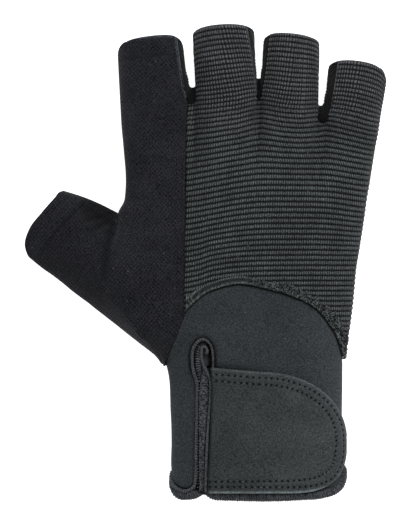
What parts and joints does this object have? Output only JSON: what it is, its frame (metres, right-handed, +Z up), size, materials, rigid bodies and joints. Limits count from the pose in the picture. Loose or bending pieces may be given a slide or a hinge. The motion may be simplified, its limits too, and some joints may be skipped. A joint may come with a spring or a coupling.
{
  "type": "weightlifting glove",
  "caption": "Half-finger weightlifting glove for the right hand: suede palm and thumb, ribbed cloth back, and a padded wrist cuff with a wrap-over strap.",
  "frame": {"origin": "centre of the bounding box in plan, on the surface that the palm rests on", "axes": "+X towards the little finger, +Y towards the fingertips, +Z up out of the back of the hand"},
  "size_m": [0.1516, 0.2001, 0.028],
  "materials": {
    "suede": "matt black suede",
    "ribbed_cloth": "matt charcoal ribbed cloth",
    "side_strip": "matt black knit",
    "cuff_cloth": "smooth foam-backed cloth",
    "strap_cloth": "smooth foam-backed cloth",
    "binding": "overlocked edge binding",
    "hook_fastener": "matt black hook tape"
  },
  "bodies": {
    "root": {"palm_panel": "suede", "index_panel": "suede", "thumb_stall": "suede", "back_panel": "ribbed_cloth", "gathered_edge": "ribbed_cloth", "index_middle_strip": "side_strip", "middle_ring_strip": "side_strip", "ring_little_strip": "side_strip", "cuff": "cuff_cloth", "hem_binding": "binding", "slit_binding": "binding", "strap_roll": "binding", "hook_patch": "hook_fastener", "wrist_strap": "strap_cloth"}
  },
  "joints": []
}
